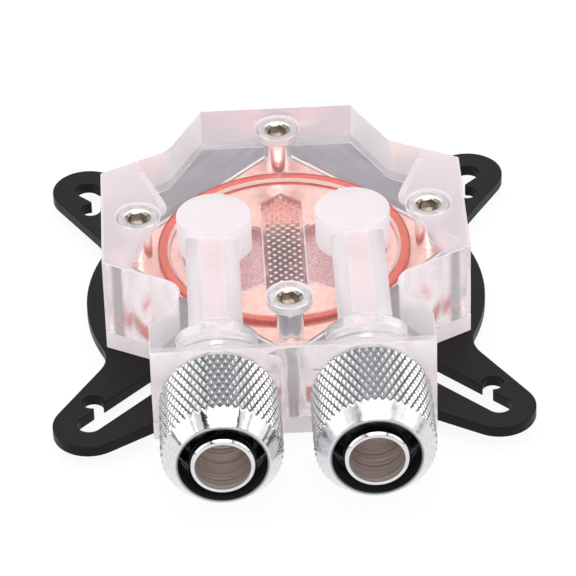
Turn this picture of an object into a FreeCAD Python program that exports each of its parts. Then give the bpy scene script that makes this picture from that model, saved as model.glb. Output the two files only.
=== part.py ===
import FreeCAD, Part
import math
import os

# Liquid cooling cold plate with a clear cover and two compression fittings.
# Millimetres. +Z is up and -Y is the side where the two fittings leave.
# The origin is on the copper contact face, at the centre of the four cover screws.

# Clearances that several pieces share
thread_gap = 0.05             # radial gap left where a thread is drawn smooth
stud_gap = 0.08               # radial gap of the port thread

# Compression fittings, lengths along the axis counted from the front face of the cover
bore_radius = 4.4
stem_wall = 0.55
barb_step = 0.3
tube_space = 2.35             # from the barb to the root of the collar thread
nut_wall = 2.05
nut_nose_step = 0.4           # the knurl stands this much above the tapered nose
nut_mouth_gap = 1.75          # room for the tube wall between barb and collar mouth
nut_lip_width = 0.55
stud_length = 5.0
flange_length = 1.8
flange_rim = 1.0              # flange metal outside the face seal
face_seal_offset = 0.92       # from the port thread to the middle of the face seal
face_seal_width = 1.1
face_seal_depth = 1.0
face_seal_clearance = 0.05
collar_thread_length = 9.7
stem_cone = 1.0
stem_run = 3.9
barb_length = 2.3
knurl_overrun = 4.3           # knurl length in front of the collar thread
nose_length = 2.3
mouth_length = 4.5
mouth_cone = 0.7
stem_radius = bore_radius + stem_wall
barb_radius = stem_radius + barb_step
nut_thread_radius = barb_radius + tube_space
nut_radius = nut_thread_radius + thread_gap + nut_wall
nut_nose_radius = nut_radius - nut_nose_step
nut_mouth_radius = barb_radius + nut_mouth_gap
nut_lip_radius = nut_mouth_radius + nut_lip_width
nut_thread_end = flange_length + collar_thread_length
barb_start = nut_thread_end + stem_cone + stem_run
barb_end = barb_start + barb_length
nut_knurl_end = nut_thread_end + knurl_overrun
nut_end = nut_knurl_end + nose_length

# Ports and flow path in the cover
port_thread_radius = 6.58
port_floor = 2.07             # cover left under and over the port thread
port_spacing = 2.3            # half the gap between the two collars
port_thread_depth = 9.0
port_cone_length = 2.2
channel_radius = 4.4
well_offset = 0.5             # the wells stand this much nearer the middle than the ports
well_y = 1.6
well_radius = 6.2
well_roof = 0.65              # well height above the top of the channel
well_overhang = 0.4           # the wells reach this much past the chamber wall
face_seal_radius = port_thread_radius + face_seal_offset
flange_radius = face_seal_radius + flange_rim
port_x = nut_radius + port_spacing
port_height = port_thread_radius + port_floor
cover_height = 2 * port_height
well_x = port_x - well_offset
well_depth = port_height + channel_radius + well_roof

# Copper base
base_thickness = 4.0          # contact face to the top of the copper
chamber_depth = 1.5
chamber_radius = well_x + well_radius - well_overhang
strip_half_width = 3.4        # strip of cooling pins between the two basins
strip_rim = 1.3               # from the tip of the strip to the chamber circle
strip_point = 2.7             # length of the pointed ends of the strip
pin_pitch_x = 1.66            # pins of one row, the next row stands half a pitch on
pin_pitch_y = 0.82
pin_half_x = 0.33
pin_half_y = 0.33
basin_front_y = -9.7
basin_back_y = 6.0
basin_slope = 0.58            # the basin ends open out at this slope from the strip
relief_depth = 0.6            # the same basins, shallow, in the underside of the cover
strip_apex_y = chamber_radius - strip_rim
strip_shoulder_y = strip_apex_y - strip_point

# Chamber seal
seal_cord = 1.78
seal_margin = 2.7             # from the chamber wall to the middle of the seal
seal_groove_depth = 1.5
seal_side_clearance = 0.08
seal_radius = chamber_radius + seal_margin
seal_half_width = seal_cord ** 2 / seal_groove_depth / 2
groove_half_width = seal_half_width + seal_side_clearance
groove_outer = seal_radius + groove_half_width

# Cover screws, low cap heads
screw_radius = 1.5
screw_margin = 4.0            # from the middle of the seal to a cover screw
screw_end_gap = 0.1           # the screws end this much above the contact face
head_rim = 2.0                # head radius outside the thread
head_height = 2.8
head_edge = 0.25
socket_across_flats = 3.0
socket_depth = 1.7
socket_mouth = 0.55           # the socket's mouth opens by this much
counterbore_gap = 0.2
head_recess = 0.4             # the heads lie this much below the top of the cover
screw_hole_gap = 0.7
screw_reach = seal_radius + screw_margin
head_radius = screw_radius + head_rim
counterbore_radius = head_radius + counterbore_gap
counterbore_depth = head_height + head_recess
screw_hole_radius = screw_radius + screw_hole_gap
screw_length = cover_height - counterbore_depth + base_thickness - screw_end_gap

# Outline of the clear cover
cover_margin = 6.0            # screw to the left, right and back faces of the cover
ear_half_width = 12.8         # half the width of each of those faces
back_notch_wall = 5.31        # seal groove to the sharp back notch corner, before rounding
back_notch_radius = 4.2
front_notch_wall = 4.886      # the same for the two front notches
front_notch_angle = 52.337    # direction of the front notches, from the X axis
front_notch_radius = 4.0
tongue_margin = 10.7          # port axis to the side of the block that carries the ports
tongue_neck = 9.9             # length of the slanting wall between notch and block
tongue_length = 7.5           # straight sides of that block
cover_reach = screw_reach + cover_margin
notch_corner = (groove_outer + back_notch_wall) / math.sqrt(2)
front_notch_x = (groove_outer + front_notch_wall) * math.cos(math.radians(front_notch_angle))
front_notch_y = -(groove_outer + front_notch_wall) * math.sin(math.radians(front_notch_angle))
tongue_half_width = port_x + tongue_margin
tongue_shoulder_y = front_notch_y - tongue_neck
tongue_front_y = tongue_shoulder_y - tongue_length

# Outline of the copper, a square that stands on its corner, with the screws by the corners
base_corner_margin = 4.3      # screw to the corner of the upper square
flange_step = 2.7             # the lower square, which carries the bracket, is this much wider
base_half_diagonal = screw_reach + base_corner_margin
flange_half_diagonal = base_half_diagonal + flange_step

# Bracket
bracket_thickness = 2.0
opening_clearance = 0.3       # flat to flat gap between the copper and the bracket
bracket_rim = 4.576           # left between the corners of the opening and the round edge
arm_reach = 33.0              # x and y of the round arm ends
arm_end_radius = 6.0
arm_edge_angle = 58.4         # of the outer arm edges, from +X
arm_root_radius = 6.5
slot_half_width = 2.0
slot_run = 11.0               # x and y from the outer end of the slot to its inner end
seat_side = 0.55              # second stud seat, in from the arm end towards the middle
seat_back = 5.9               # and this much along the side of the arm
seat_radius = 1.7
seat_neck_side = 0.7          # outer side of the neck that joins seat and slot
bracket_opening = base_half_diagonal + opening_clearance * math.sqrt(2)
bracket_radius = bracket_opening + bracket_rim
seat_x = arm_reach - seat_side
seat_y = arm_reach - seat_back
seat_neck_x = arm_reach - seat_neck_side

# Heights that follow from the sizes above
base_step = base_thickness - bracket_thickness
cover_bottom = base_thickness
cover_top = cover_bottom + cover_height
port_z = cover_bottom + port_height
TURN = 360.0


def point(x, y, z=0.0):
    return FreeCAD.Vector(x, y, z)


def cylinder(radius, height, x, y, z):
    return Part.makeCylinder(radius, height, point(x, y, z))


def rounded_face(corners):
    """Flat face at z = 0 from corners (x, y, radius), each turned into an arc."""
    edges = []
    starts = []
    ends = []
    count = len(corners)
    for i in range(count):
        here = point(corners[i][0], corners[i][1])
        radius = corners[i][2]
        before = point(corners[i - 1][0], corners[i - 1][1]) - here
        after = point(corners[(i + 1) % count][0], corners[(i + 1) % count][1]) - here
        before.normalize()
        after.normalize()
        if radius == 0:
            starts.append(here)
            ends.append(here)
            edges.append(None)
            continue
        half = before.getAngle(after) / 2
        reach = radius / math.tan(half)
        bisector = before + after
        bisector.normalize()
        centre = here + bisector * (radius / math.sin(half))
        middle = centre - bisector * radius
        start = here + before * reach
        end = here + after * reach
        starts.append(start)
        ends.append(end)
        edges.append(Part.Arc(start, middle, end).toShape())
    outline = []
    for i in range(count):
        if edges[i] is not None:
            outline.append(edges[i])
        outline.append(Part.LineSegment(ends[i], starts[(i + 1) % count]).toShape())
    return Part.Face(Part.Wire(outline))


def slab(face, bottom, top):
    lifted = face.copy()
    lifted.translate(point(0, 0, bottom))
    return lifted.extrude(point(0, 0, top - bottom))


def diamond_face(half_diagonal):
    h = half_diagonal
    return rounded_face([(h, 0, 0), (0, h, 0), (-h, 0, 0), (0, -h, 0)])


def screw_places():
    return {
        "left": (-screw_reach, 0.0),
        "right": (screw_reach, 0.0),
        "back": (0.0, screw_reach),
        "front": (0.0, -screw_reach),
    }


def turned_on_y(profile, x):
    """Body of revolution about a port axis. Profile points are (radius, distance
    in front of the cover's front face)."""
    points = [point(x + r, tongue_front_y - d, port_z) for r, d in profile]
    face = Part.Face(Part.makePolygon(points + [points[0]]))
    return face.revolve(point(x, 0, port_z), point(0, 1, 0), TURN)


def basin_face(side):
    """Plan of one basin: straight ends that open out from the pin strip, round outside."""
    slope = basin_slope

    def on_rim(y_start, step):
        # where the sloping end line from the strip meets the chamber circle
        a = 1 + slope * slope
        b = 2 * (strip_half_width + step * slope * y_start)
        c = strip_half_width ** 2 + y_start ** 2 - chamber_radius ** 2
        run = (-b + math.sqrt(b * b - 4 * a * c)) / (2 * a)
        return point(side * (strip_half_width + run), y_start + step * slope * run)

    front = point(side * strip_half_width, basin_front_y)
    back = point(side * strip_half_width, basin_back_y)
    front_rim = on_rim(basin_front_y, -1)
    back_rim = on_rim(basin_back_y, 1)
    rim = Part.Arc(front_rim, point(side * chamber_radius, 0), back_rim).toShape()
    return Part.Face(Part.Wire([
        Part.LineSegment(back, front).toShape(),
        Part.LineSegment(front, front_rim).toShape(),
        rim,
        Part.LineSegment(back_rim, back).toShape(),
    ]))


def strip_face():
    w = strip_half_width
    s = strip_shoulder_y
    a = strip_apex_y
    return rounded_face([(w, -s, 0), (w, s, 0), (0, a, 0), (-w, s, 0), (-w, -s, 0), (0, -a, 0)])


def chamber_solids(bottom, top):
    return [
        slab(basin_face(-1), bottom, top),
        slab(basin_face(1), bottom, top),
        slab(strip_face(), bottom, top),
    ]


def pin_places():
    """Staggered rows of pins that follow the pointed ends of the strip."""
    rows = int(strip_apex_y / pin_pitch_y)
    places = []
    for row in range(-rows, rows + 1):
        y = row * pin_pitch_y
        run_out = (strip_apex_y - abs(y)) / (strip_apex_y - strip_shoulder_y)
        reach = strip_half_width * min(1.0, run_out) - pin_half_x
        shift = 0.5 * pin_pitch_x * (row % 2)
        for column in range(-4, 5):
            x = column * pin_pitch_x + shift
            if abs(x) <= reach:
                places.append((x, y))
    return places


def copper_base():
    """Stepped square plate: the lower flange carries the bracket, the upper square
    fills its opening and holds the chamber with the cooling pins."""
    plate = slab(diamond_face(flange_half_diagonal), 0, base_step)
    plate = plate.fuse(slab(diamond_face(base_half_diagonal), base_step, base_thickness))
    plate = plate.removeSplitter()
    floor = base_thickness - chamber_depth
    for pocket in chamber_solids(floor, base_thickness + 1):
        plate = plate.cut(pocket)
    for x, y in screw_places().values():
        plate = plate.cut(cylinder(screw_radius + thread_gap, base_thickness + 2, x, y, -1))
    pins = []
    root = 0.1
    for x, y in pin_places():
        corners = [
            (x + pin_half_x, y, 0),
            (x, y + pin_half_y, 0),
            (x - pin_half_x, y, 0),
            (x, y - pin_half_y, 0),
        ]
        pins.append(slab(rounded_face(corners), floor - root, base_thickness))
    return plate.fuse(pins)


def mounting_bracket():
    """Round plate with a square opening and four slotted corner arms."""
    top = base_thickness
    plate = cylinder(bracket_radius, bracket_thickness, 0, 0, base_step)
    angle = math.radians(arm_edge_angle)
    along = (math.cos(angle), math.sin(angle))
    # each outer arm edge runs from the round arm end to well inside the round plate
    foot = arm_reach * (along[0] + along[1])
    nearest = arm_reach * (along[1] - along[0]) + arm_end_radius
    edge_run = foot - 0.7 * math.sqrt(bracket_radius ** 2 - nearest ** 2)
    for sx in (-1, 1):
        for sy in (-1, 1):
            ex = arm_reach + along[1] * arm_end_radius
            ey = arm_reach - along[0] * arm_end_radius
            outline = [
                (sx * ex, sy * ey, 0),
                (sx * (ex - along[0] * edge_run), sy * (ey - along[1] * edge_run), 0),
                (sx * (ey - along[1] * edge_run), sy * (ex - along[0] * edge_run), 0),
                (sx * ey, sy * ex, 0),
            ]
            plate = plate.fuse(slab(rounded_face(outline), base_step, top))
            end = cylinder(arm_end_radius, bracket_thickness, sx * arm_reach, sy * arm_reach, base_step)
            plate = plate.fuse(end)
    plate = plate.removeSplitter()
    roots = []
    for edge in plate.Edges:
        ends = edge.Vertexes
        if len(ends) != 2:
            continue
        a, b = ends[0].Point, ends[1].Point
        upright = abs(a.x - b.x) < 1e-6 and abs(a.y - b.y) < 1e-6
        if upright and abs(math.hypot(a.x, a.y) - bracket_radius) < 1e-3:
            roots.append(edge)
    plate = plate.makeFillet(arm_root_radius, roots)
    plate = plate.cut(slab(diamond_face(bracket_opening), base_step - 1, top + 1))
    for sx in (-1, 1):
        for sy in (-1, 1):
            for cutter in stud_slot(sx, sy):
                plate = plate.cut(cutter)
    return plate


def stud_slot(sx, sy):
    """Diagonal slot with round ends, and the round second seat that opens into it."""
    bottom = base_step - 1
    height = bracket_thickness + 2
    side = slot_half_width / math.sqrt(2)
    a = arm_reach - slot_run
    b = arm_reach
    slot = slab(rounded_face([
        (sx * (a + side), sy * (a - side), 0),
        (sx * (b + side), sy * (b - side), 0),
        (sx * (b - side), sy * (b + side), 0),
        (sx * (a - side), sy * (a + side), 0),
    ]), bottom, bottom + height)
    slot = slot.fuse(cylinder(slot_half_width, height, sx * a, sy * a, bottom))
    slot = slot.fuse(cylinder(slot_half_width, height, sx * b, sy * b, bottom))
    inner_x = seat_x - seat_radius
    neck = slab(rounded_face([
        (sx * inner_x, sy * seat_y, 0),
        (sx * seat_neck_x, sy * seat_y, 0),
        (sx * seat_neck_x, sy * seat_neck_x, 0),
        (sx * inner_x, sy * inner_x, 0),
    ]), bottom, bottom + height)
    seat = cylinder(seat_radius, height, sx * seat_x, sy * seat_y, bottom)
    return [slot, neck, seat]


def chamber_o_ring():
    """Seal around the chamber, squeezed to the depth of its groove."""
    half_height = seal_groove_depth / 2
    centre = point(seal_radius, 0, cover_bottom + half_height)
    section = Part.Ellipse(
        centre + point(seal_half_width, 0, 0),
        centre + point(0, 0, half_height),
        centre,
    )
    face = Part.Face(Part.Wire([section.toShape()]))
    return face.revolve(point(0, 0, 0), point(0, 0, 1), TURN)


def cover_outline():
    c = notch_corner
    fx = front_notch_x
    right = [
        (tongue_half_width, tongue_front_y, 0),
        (tongue_half_width, tongue_shoulder_y, 0),
        (fx, front_notch_y, front_notch_radius),
        (cover_reach, -ear_half_width, 0),
        (cover_reach, ear_half_width, 0),
        (c, c, back_notch_radius),
        (ear_half_width, cover_reach, 0),
    ]
    left = [(-x, y, r) for x, y, r in reversed(right)]
    return right + left


def port_cuts(side):
    """One flow path: tapped hole, cone, channel and the upright well."""
    axis = point(0, 1, 0)
    x = side * port_x
    over = 1.0
    tapped = Part.makeCylinder(
        port_thread_radius,
        port_thread_depth + over,
        point(x, tongue_front_y - over, port_z),
        axis,
    )
    cone_start = tongue_front_y + port_thread_depth
    cone = Part.makeCone(
        port_thread_radius, channel_radius, port_cone_length, point(x, cone_start, port_z), axis
    )
    channel = Part.makeCylinder(
        channel_radius, well_y - cone_start, point(x, cone_start, port_z), axis
    )
    well = cylinder(well_radius, well_depth + over, side * well_x, well_y, cover_bottom - over)
    return [tapped, cone, channel, well]


def clear_cover():
    """Clear block with eight-pointed plan, milled for ports, wells, seal and screws."""
    block = slab(rounded_face(cover_outline()), cover_bottom, cover_top)
    for side in (-1, 1):
        for cutter in port_cuts(side):
            block = block.cut(cutter)
        block = block.cut(slab(basin_face(side), cover_bottom - 1, cover_bottom + relief_depth))
    for x, y in screw_places().values():
        block = block.cut(cylinder(screw_hole_radius, cover_height + 2, x, y, cover_bottom - 1))
        floor = cover_top - counterbore_depth
        block = block.cut(cylinder(counterbore_radius, counterbore_depth + 1, x, y, floor))
    groove = cylinder(groove_outer, seal_groove_depth + 1, 0, 0, cover_bottom - 1)
    inner = seal_radius - groove_half_width
    groove = groove.cut(cylinder(inner, seal_groove_depth + 1, 0, 0, cover_bottom - 1))
    return block.cut(groove)


def cover_screw(x, y):
    """Low cap screw that clamps the cover and the bracket to the copper."""
    seat = cover_top - counterbore_depth
    head_top = seat + head_height
    outline = [
        (0, seat - screw_length),
        (screw_radius - 0.4, seat - screw_length),
        (screw_radius, seat - screw_length + 0.4),
        (screw_radius, seat),
        (head_radius, seat),
        (head_radius, head_top - head_edge),
        (head_radius - head_edge, head_top),
        (0, head_top),
    ]
    points = [point(x + r, y, z) for r, z in outline]
    face = Part.Face(Part.makePolygon(points + [points[0]]))
    screw = face.revolve(point(x, y, 0), point(0, 0, 1), TURN)
    corner = socket_across_flats / math.sqrt(3)
    corners = []
    for i in range(6):
        angle = math.radians(60 * i + 10)
        corners.append((x + corner * math.cos(angle), y + corner * math.sin(angle), 0))
    socket = slab(rounded_face(corners), head_top - socket_depth, head_top + 1)
    inner = socket_across_flats / 2
    mouth_base = point(x, y, head_top - socket_mouth)
    mouth = Part.makeCone(inner, inner + socket_mouth, socket_mouth, mouth_base)
    return screw.cut(socket).cut(mouth)


def fitting_body(side):
    """Turned body: threaded stud, flange with a face groove, collar thread and barb."""
    profile = [
        (bore_radius, -stud_length),
        (port_thread_radius - stud_gap - 0.4, -stud_length),
        (port_thread_radius - stud_gap, -stud_length + 0.4),
        (port_thread_radius - stud_gap, 0),
        (flange_radius, 0),
        (flange_radius, flange_length),
        (nut_thread_radius, flange_length),
        (nut_thread_radius, nut_thread_end),
        (stem_radius, nut_thread_end + stem_cone),
        (stem_radius, barb_start),
        (barb_radius, barb_start),
        (barb_radius, barb_end - 0.5),
        (barb_radius - 0.3, barb_end),
        (bore_radius, barb_end),
    ]
    body = turned_on_y(profile, side * port_x)
    half = face_seal_width / 2 + face_seal_clearance
    groove = [
        (face_seal_radius - half, -1),
        (face_seal_radius + half, -1),
        (face_seal_radius + half, face_seal_depth),
        (face_seal_radius - half, face_seal_depth),
    ]
    cutter = turned_on_y(groove, side * port_x)
    keep = turned_on_y([(0, -1), (20, -1), (20, 0), (0, 0)], side * port_x)
    return body.cut(cutter.cut(keep))


def port_o_ring(side):
    """Face seal, squeezed in the flange groove against the front face of the cover."""
    x = side * port_x
    centre = point(x + face_seal_radius, tongue_front_y - face_seal_depth / 2, port_z)
    section = Part.Ellipse(
        centre + point(face_seal_width / 2, 0, 0),
        centre + point(0, face_seal_depth / 2, 0),
        centre,
    )
    face = Part.Face(Part.Wire([section.toShape()]))
    return face.revolve(point(x, 0, port_z), point(0, 1, 0), TURN)


def collar_nut(side):
    """Collar that squeezes the tube on the barb: straight grip band, tapered nose."""
    inner = nut_thread_radius + thread_gap
    profile = [
        (inner, flange_length),
        (nut_radius - 0.3, flange_length),
        (nut_radius, flange_length + 0.3),
        (nut_radius, nut_knurl_end),
        (nut_nose_radius, nut_knurl_end),
        (nut_lip_radius, nut_end),
        (nut_mouth_radius, nut_end),
        (nut_mouth_radius, nut_end - mouth_length),
        (inner, nut_end - mouth_length - mouth_cone),
    ]
    return turned_on_y(profile, side * port_x)


def save(shape, name):
    shape.exportStep("parts/" + name + ".step")


def main():
    os.makedirs("parts", exist_ok=True)
    save(copper_base(), "copper_base")
    save(mounting_bracket(), "mounting_bracket")
    save(chamber_o_ring(), "chamber_o_ring")
    save(clear_cover(), "clear_cover")
    for place, (x, y) in screw_places().items():
        save(cover_screw(x, y), "cover_screw_" + place)
    for name, side in (("left", -1), ("right", 1)):
        save(port_o_ring(side), "port_o_ring_" + name)
        save(fitting_body(side), "fitting_body_" + name)
        save(collar_nut(side), "collar_nut_" + name)


main()
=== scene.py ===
import math

import bmesh
import bpy
import numpy as np
from mathutils import Matrix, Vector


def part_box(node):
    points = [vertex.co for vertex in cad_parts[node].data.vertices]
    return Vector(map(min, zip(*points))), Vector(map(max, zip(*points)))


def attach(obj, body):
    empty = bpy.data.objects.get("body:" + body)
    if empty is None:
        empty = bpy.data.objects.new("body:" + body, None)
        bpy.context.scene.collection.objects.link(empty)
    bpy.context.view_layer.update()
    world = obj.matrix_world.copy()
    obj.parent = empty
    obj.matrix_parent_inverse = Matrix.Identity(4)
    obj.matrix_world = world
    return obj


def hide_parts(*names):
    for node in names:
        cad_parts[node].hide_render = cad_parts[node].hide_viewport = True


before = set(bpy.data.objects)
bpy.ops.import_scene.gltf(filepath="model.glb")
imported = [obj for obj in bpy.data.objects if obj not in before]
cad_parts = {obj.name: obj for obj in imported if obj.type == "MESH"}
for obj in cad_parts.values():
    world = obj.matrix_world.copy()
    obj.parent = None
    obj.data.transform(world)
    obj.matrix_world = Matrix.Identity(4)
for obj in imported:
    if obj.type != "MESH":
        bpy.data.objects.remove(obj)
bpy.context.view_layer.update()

mm = 0.001

# Camera at the photograph's viewing angle, and a white photographic studio. The plate stands
# on a pale floor under a large softbox, between two at the sides, with one more and a low
# fill lamp in front.
camera_turn = math.radians(1.4235)
camera_height = math.radians(36.1207)
camera_roll = math.radians(-1.8635)
camera_distance = 705.7 * mm
camera_aim = np.array([0.444, 1.507, 4.0]) * mm
focal_pixels = 4212.4
picture_side = 576


def add_object(name, data):
    """Puts a mesh, a lamp or a camera into the scene."""
    made = bpy.data.objects.new(name, data)
    bpy.context.scene.collection.objects.link(made)
    return made


def placed(across, up, back, place):
    """Matrix that lays an object's own axes along three directions, at the place."""
    turn = np.eye(4)
    turn[:3] = np.column_stack([across, up, back, place])
    return Matrix(turn.tolist())


def look_through_camera():
    """Camera frame: forward from turn and height, then right and up rolled about it."""
    forward = np.array([
        math.sin(camera_turn) * math.cos(camera_height),
        math.cos(camera_turn) * math.cos(camera_height),
        -math.sin(camera_height),
    ])
    level = np.array([math.cos(camera_turn), -math.sin(camera_turn), 0.0])
    upright = np.cross(level, forward)
    right = math.cos(camera_roll) * level + math.sin(camera_roll) * upright
    up = -math.sin(camera_roll) * level + math.cos(camera_roll) * upright
    data = bpy.data.cameras.new("camera")
    data.sensor_width = 36.0
    data.lens = focal_pixels * data.sensor_width / picture_side
    data.clip_start = 0.05
    data.clip_end = 20.0
    camera = add_object("camera", data)
    camera.matrix_world = placed(right, up, -forward, camera_aim - forward * camera_distance)
    bpy.context.scene.camera = camera


look_through_camera()
bpy.context.scene.view_settings.view_transform = "Standard"


def new_finish(name):
    """A material with one Principled shader. Returns material, its node tree and the shader."""
    material = bpy.data.materials.new(name)
    material.use_nodes = True
    tree = material.node_tree
    shader = tree.nodes["Principled BSDF"]
    return material, tree, shader


def feed(tree, socket, value):
    """Sets a node's input to a value, or links it to another node's output."""
    if isinstance(value, bpy.types.NodeSocket):
        tree.links.new(value, socket)
    else:
        socket.default_value = value


def give(made, values):
    """Sets inputs of a node by their names."""
    for key, value in values.items():
        made.inputs[key].default_value = value


def node(tree, kind, **inputs):
    """Adds a node. Keyword names that are sockets are fed, the others are settings."""
    made = tree.nodes.new(kind)
    for key, value in inputs.items():
        if key in made.inputs:
            feed(tree, made.inputs[key], value)
        else:
            setattr(made, key, value)
    return made


def maths(tree, operation, *values):
    """A Math node. Each value is a socket or a number."""
    made = node(tree, "ShaderNodeMath", operation=operation)
    for socket, value in zip(made.inputs, values):
        feed(tree, socket, value)
    return made.outputs[0]


def times(tree, product, *factors):
    """Product of sockets and numbers."""
    for factor in factors:
        product = maths(tree, "MULTIPLY", product, factor)
    return product


def ramp(tree, value, start, stop, low=0.0, high=1.0, kind="SMOOTHSTEP"):
    """Goes from low to high while the value goes from start to stop."""
    made = node(tree, "ShaderNodeMapRange", interpolation_type=kind, Value=value)
    for key, given in (("From Min", start), ("From Max", stop), ("To Min", low), ("To Max", high)):
        feed(tree, made.inputs[key], given)
    return made.outputs["Result"]


def mix_shaders(tree, factor, first, second):
    """A Mix Shader node between two shader nodes."""
    mix = tree.nodes.new("ShaderNodeMixShader")
    feed(tree, mix.inputs[0], factor)
    tree.links.new(first.outputs[0], mix.inputs[1])
    tree.links.new(second.outputs[0], mix.inputs[2])
    return mix


studio_light = 0.6
tent_top = 1.7
tent_side = 0.9
gap_dark = 0.03


def band(tree, value, middle, half, soft):
    """1 where value is within half of middle, falling to 0 over soft."""
    away = maths(tree, "ABSOLUTE", maths(tree, "SUBTRACT", value, middle))
    return ramp(tree, away, half + soft, half)


def above(tree, value, limit, soft):
    """0 below limit, 1 from limit + soft up."""
    return ramp(tree, value, limit, limit + soft)


def below(tree, value, limit, soft):
    """0 above limit, 1 from limit - soft down."""
    return ramp(tree, value, limit, limit - soft)


def tent_tone(tree):
    """The white tent that polished metal mirrors, dark in the gaps between its panels.

    The upper panels are the brightest. Strips of shade stand behind, at the right and in
    front, where the camera is, and a thin one runs round the foot of the tent.
    """
    direction = tree.nodes.new("ShaderNodeTexCoord").outputs["Generated"]
    across, along, upward = node(tree, "ShaderNodeSeparateXYZ", Vector=direction).outputs
    lean = maths(tree, "DIVIDE", across, maths(tree, "MAXIMUM", upward, 0.05))
    overhead = above(tree, upward, 0.2, 0.1)
    low = below(tree, upward, 0.66, 0.1)
    behind = maths(tree, "MAXIMUM", along, 0.05)
    aslant = maths(tree, "DIVIDE", maths(tree, "ABSOLUTE", across), behind)
    shades = [
        (band(tree, lean, -0.54, 0.10, 0.03), overhead, 1.0),
        (band(tree, lean, -0.80, 0.10, 0.18), overhead, 0.45),
        (band(tree, lean, 0.63, 0.035, 0.02), overhead, 1.0),
        (band(tree, lean, 0.78, 0.06, 0.12), overhead, 0.4),
        (band(tree, aslant, 1.0, 0.2, 0.15), low, 0.85),
        (band(tree, aslant, 2.6, 0.5, 0.3), low, 0.85),
        (band(tree, upward, 0.03, 0.04, 0.04), low, 0.6),
        (above(tree, across, 0.55, 0.2), band(tree, upward, 0.10, 0.14, 0.08), 0.7),
        (below(tree, along, -0.4, 0.2), low, 0.75),
    ]
    dark = None
    for shape, where, weight in shades:
        part = times(tree, shape, where, weight)
        dark = part if dark is None else maths(tree, "MAXIMUM", dark, part)
    level = ramp(tree, upward, 0.60, 0.67, tent_side, tent_top)
    bright = times(tree, level, maths(tree, "SUBTRACT", 1.0, dark))
    return maths(tree, "MAXIMUM", bright, gap_dark)


white = (1, 1, 1, 1)


def ray_kinds(tree):
    """The light path's outputs, and 1 for rays from the camera, also through clear parts."""
    path = tree.nodes.new("ShaderNodeLightPath").outputs
    return path, maths(tree, "MAXIMUM", path["Is Camera Ray"], path["Is Transmission Ray"])


def light_the_studio():
    """Even soft light, the tent in mirrors, and plain white for the camera and through glass."""
    world = bpy.data.worlds.new("studio")
    bpy.context.scene.world = world
    world.use_nodes = True
    tree = world.node_tree
    tree.nodes.clear()
    output = tree.nodes.new("ShaderNodeOutputWorld")
    path, straight = ray_kinds(tree)
    seen = node(tree, "ShaderNodeBackground", Color=white, Strength=1.0)
    mirrored = node(tree, "ShaderNodeBackground", Color=tent_tone(tree), Strength=1.0)
    soft = node(tree, "ShaderNodeBackground", Color=white, Strength=studio_light)
    light = mix_shaders(tree, path["Is Glossy Ray"], soft, mirrored)
    both = mix_shaders(tree, straight, light, seen)
    tree.links.new(both.outputs[0], output.inputs["Surface"])


light_the_studio()


def softbox(name, place, aim, width, depth, brightness):
    """Rectangular area lamp at place, facing aim. Brightness is its radiance."""
    lamp = bpy.data.lights.new(name, "AREA")
    lamp.shape = "RECTANGLE"
    lamp.size = width
    lamp.size_y = depth
    lamp.energy = brightness * math.pi * width * depth
    box = add_object(name, lamp)
    back = np.array(place, float) - np.array(aim, float)
    back /= np.linalg.norm(back)
    across = np.cross([0.0, 1.0, 0.05], back)
    across /= np.linalg.norm(across)
    box.matrix_world = placed(across, np.cross(back, across), back, place)
    return box


softbox("softbox_top", (-0.065, 0.15, 0.9), (-0.065, 0.15, 0), 0.85, 1.1, 1.08)
softbox("softbox_left", (-1.0, -0.1, 0.4), (0, 0, 0), 0.6, 0.7, 0.9)
softbox("softbox_right", (1.0, -0.1, 0.4), (0, 0, 0), 0.6, 0.7, 0.9)
softbox("softbox_front", (0.0, -0.9, 0.75), (0, 0, 0), 0.6, 0.6, 1.35)
fill = softbox("fill_front", (0.0, -1.1, 0.45), (0, 0, 0), 0.8, 0.6, 2.0)
fill.visible_glossy = False

paper_shade = 0.12
lit_paper_shade = 0.8
paper_glow = 1.0 - 0.82 * paper_shade
floor_half = 3.0
floor_level = -0.2 * mm


def mesh_piece(name, points, faces):
    """An object with a new mesh of the points and faces."""
    mesh = bpy.data.meshes.new(name)
    mesh.from_pydata(points.tolist(), [], faces)
    return add_object(name, mesh)


def lay_the_floor():
    """Pale paper, white where it is seen. It keeps the object's shadow."""
    ends = np.array([(-1, -1), (1, -1), (1, 1), (-1, 1)]) * floor_half
    corners = np.column_stack([ends, np.full(4, floor_level)])
    floor = mesh_piece("floor", corners, [(0, 1, 2, 3)])
    material, tree, lit = new_finish("floor_paper")
    seen = tree.nodes.new("ShaderNodeBsdfPrincipled")
    for paper, shade in ((lit, lit_paper_shade), (seen, paper_shade)):
        give(paper, {
            "Base Color": (shade, shade, shade, 1), "Roughness": 0.9, "Specular IOR Level": 0.0})
    give(seen, {"Emission Color": white, "Emission Strength": paper_glow})
    path, straight = ray_kinds(tree)
    unlit = maths(tree, "MAXIMUM", straight, path["Is Glossy Ray"])
    mix = mix_shaders(tree, unlit, lit, seen)
    tree.links.new(mix.outputs[0], tree.nodes["Material Output"].inputs["Surface"])
    floor.data.materials.append(material)


lay_the_floor()


# Copper base: one machined copper plate. The chamber between the seal ring and the strip
# of cooling pins is milled into its top, and the flange below carries the bracket.
def effect_group(name, inputs, outputs):
    """An empty shader node group, with its ends. Inputs and outputs are (name, kind) pairs."""
    group = bpy.data.node_groups.new(name, "ShaderNodeTree")
    for label, kind in inputs:
        group.interface.new_socket(label, in_out="INPUT", socket_type="NodeSocket" + kind)
    for label, kind in outputs:
        group.interface.new_socket(label, in_out="OUTPUT", socket_type="NodeSocket" + kind)
    return group, group.nodes.new("NodeGroupInput"), group.nodes.new("NodeGroupOutput")


def blend_colour(tree, factor, first, second):
    """Mixes two colours, each a socket or a value."""
    mix = node(tree, "ShaderNodeMix", data_type="RGBA", Factor=factor, A=first, B=second)
    return mix.outputs["Result"]


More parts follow.
